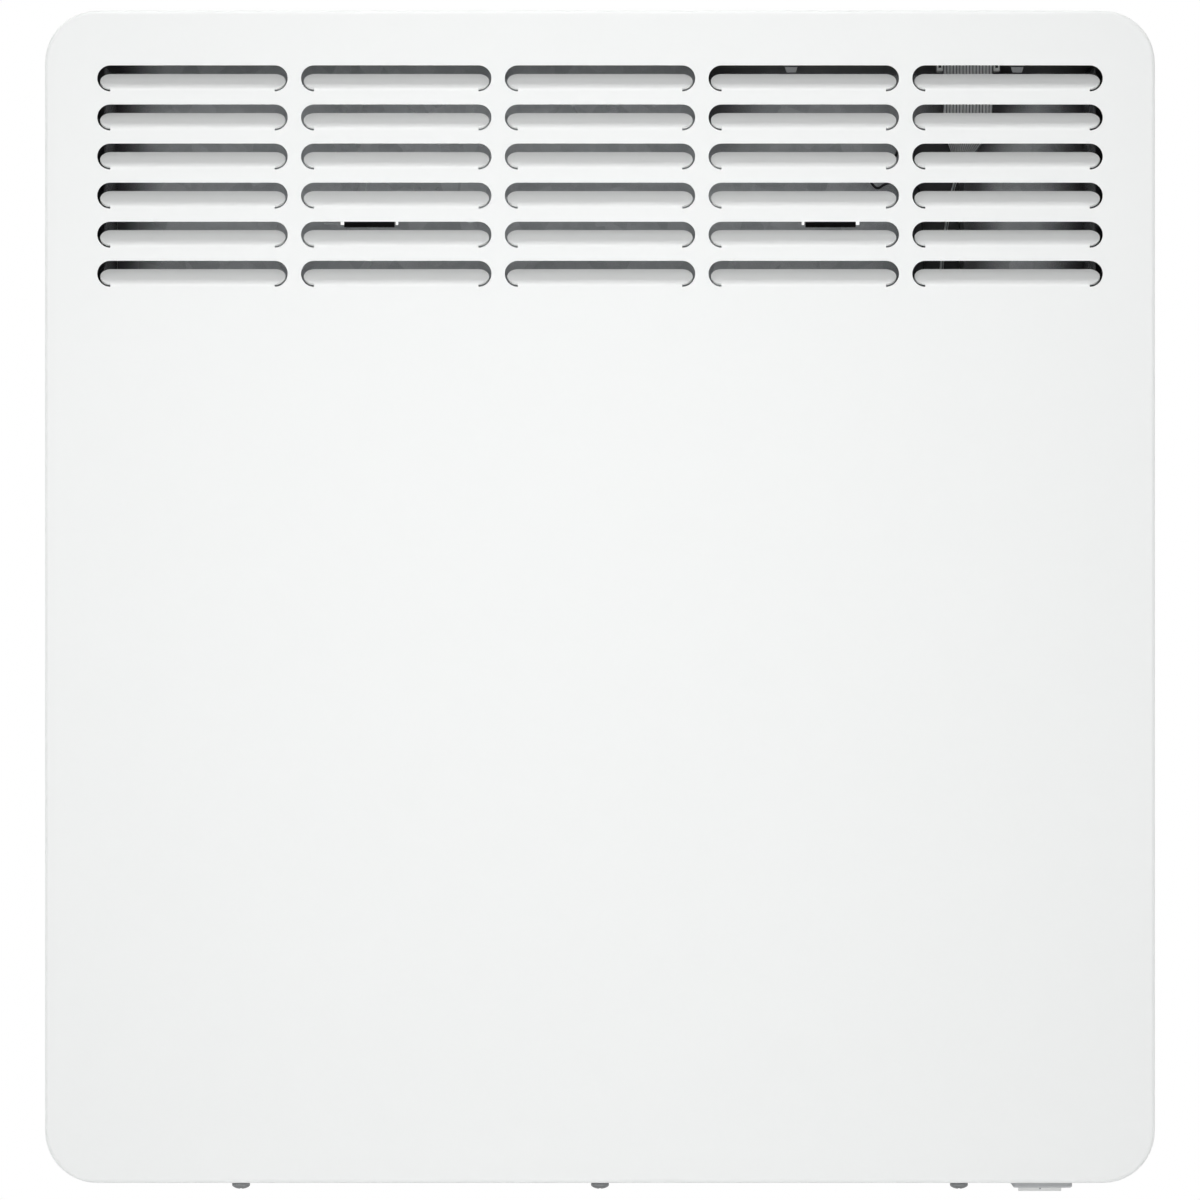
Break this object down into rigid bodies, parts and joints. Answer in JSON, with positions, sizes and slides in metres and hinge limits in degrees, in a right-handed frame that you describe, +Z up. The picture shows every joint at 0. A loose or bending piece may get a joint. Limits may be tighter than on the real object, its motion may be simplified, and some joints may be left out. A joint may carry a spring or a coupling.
{
  "type": "wall panel convector heater",
  "caption": "Slim white wall convector: louvred sheet casing with a top programming unit, finned element inside, hung on a steel wall bracket with hooks and sprung latches.",
  "frame": {"origin": "centre of the wall-screw pattern on the wall plane, which is also the heater's centre", "axes": "+X right seen from the front, +Y into the wall, +Z up"},
  "size_m": [0.426, 0.123, 0.4575],
  "materials": {
    "white_paint": "fine-textured powder coat, warm white",
    "galvanised": "zinc-coated sheet, faint spangle",
    "bracket_paint": "satin powder coat",
    "plain_steel": "bright zinc plated",
    "sheath_steel": "heat-tinted stainless sheath",
    "fin_aluminium": "rolled strip",
    "ceramic": "unglazed ceramic",
    "black_plastic": "fine spark texture",
    "dark_plastic": "satin",
    "white_plastic": "fine texture",
    "grey_plastic": "satin",
    "clear_plastic": "polished",
    "display": "grey-green liquid crystal",
    "board": "solder mask",
    "ribbon_grey": "grey flat cable",
    "wire_plastic": "wire insulation",
    "earth_plastic": "green and yellow insulation"
  },
  "bodies": {
    "bracket": {"wall_bracket": "bracket_paint", "pivot_pins": "plain_steel", "latch_spring_left": "plain_steel", "latch_spring_right": "plain_steel"},
    "heater": {"base_plate": "galvanised", "board_connectors": "dark_plastic", "capacitors": "dark_plastic", "case_screws": "plain_steel", "control_board": "board", "cord_gland": "black_plastic", "cutout_bracket": "galvanised", "display_module": "display", "display_window": "clear_plastic", "earth_terminal": "plain_steel", "earth_wire": "earth_plastic", "element_bracket_left": "galvanised", "element_bracket_right": "galvanised", "element_bushes": "ceramic", "element_fins": "fin_aluminium", "element_rod": "sheath_steel", "element_seals": "ceramic", "element_terminals": "plain_steel", "element_wires": "wire_plastic", "front_cover": "white_paint", "gland_nut": "black_plastic", "hanging_hooks": "galvanised", "heat_shield": "galvanised", "housing_lid": "black_plastic", "housing_tray": "black_plastic", "inner_screws": "plain_steel", "intake_guard": "plain_steel", "key_switches": "dark_plastic", "mains_wires": "wire_plastic", "power_board": "board", "rear_panel": "galvanised", "relay": "dark_plastic", "ribbon_cable": "ribbon_grey", "room_sensor": "white_plastic", "sensor_lead": "wire_plastic", "side_shield_left": "galvanised", "side_shield_right": "galvanised", "switch_body": "grey_plastic", "switch_terminals": "plain_steel", "terminal_block": "white_plastic", "thermal_cutout": "ceramic", "transformer": "dark_plastic", "unit_baffle": "black_plastic", "unit_connector": "dark_plastic", "unit_fascia": "white_plastic", "unit_housing": "black_plastic", "unit_lead": "wire_plastic", "wiring_channel": "dark_plastic"},
    "latch_left": {"latch_left": "black_plastic"},
    "latch_right": {"latch_right": "black_plastic"},
    "rocker": {"rocker": "white_plastic"},
    "key_1": {"key_1": "grey_plastic"},
    "key_2": {"key_2": "grey_plastic"},
    "key_3": {"key_3": "grey_plastic"},
    "key_4": {"key_4": "grey_plastic"}
  },
  "joints": [
    {"name": "heater_tilt", "type": "hinge", "parent": "bracket", "child": "heater", "pos_m": [0, -0.0122, -0.15], "axis": [1, 0, 0], "range_deg": [0, 15]},
    {"name": "rocker_tip", "type": "hinge", "parent": "heater", "child": "rocker", "pos_m": [0.1706, -0.0925, -0.2215], "axis": [1, 0, 0], "range_deg": [0, 24]},
    {"name": "latch_left_lift", "type": "slide", "parent": "bracket", "child": "latch_left", "axis": [0, 0, 1], "range_m": [0, 0.003], "stiffness_N_per_m": 900, "springref_m": -0.004, "deforming": ["latch_spring_left"]},
    {"name": "latch_right_lift", "type": "slide", "parent": "bracket", "child": "latch_right", "axis": [0, 0, 1], "range_m": [0, 0.003], "stiffness_N_per_m": 900, "springref_m": -0.004, "deforming": ["latch_spring_right"]},
    {"name": "key_1_press", "type": "slide", "parent": "heater", "child": "key_1", "axis": [0, 0, -1], "range_m": [0, 0.0006], "stiffness_N_per_m": 800, "springref_m": -0.0006},
    {"name": "key_2_press", "type": "slide", "parent": "heater", "child": "key_2", "axis": [0, 0, -1], "range_m": [0, 0.0006], "stiffness_N_per_m": 800, "springref_m": -0.0006},
    {"name": "key_3_press", "type": "slide", "parent": "heater", "child": "key_3", "axis": [0, 0, -1], "range_m": [0, 0.0006], "stiffness_N_per_m": 800, "springref_m": -0.0006},
    {"name": "key_4_press", "type": "slide", "parent": "heater", "child": "key_4", "axis": [0, 0, -1], "range_m": [0, 0.0006], "stiffness_N_per_m": 800, "springref_m": -0.0006}
  ]
}
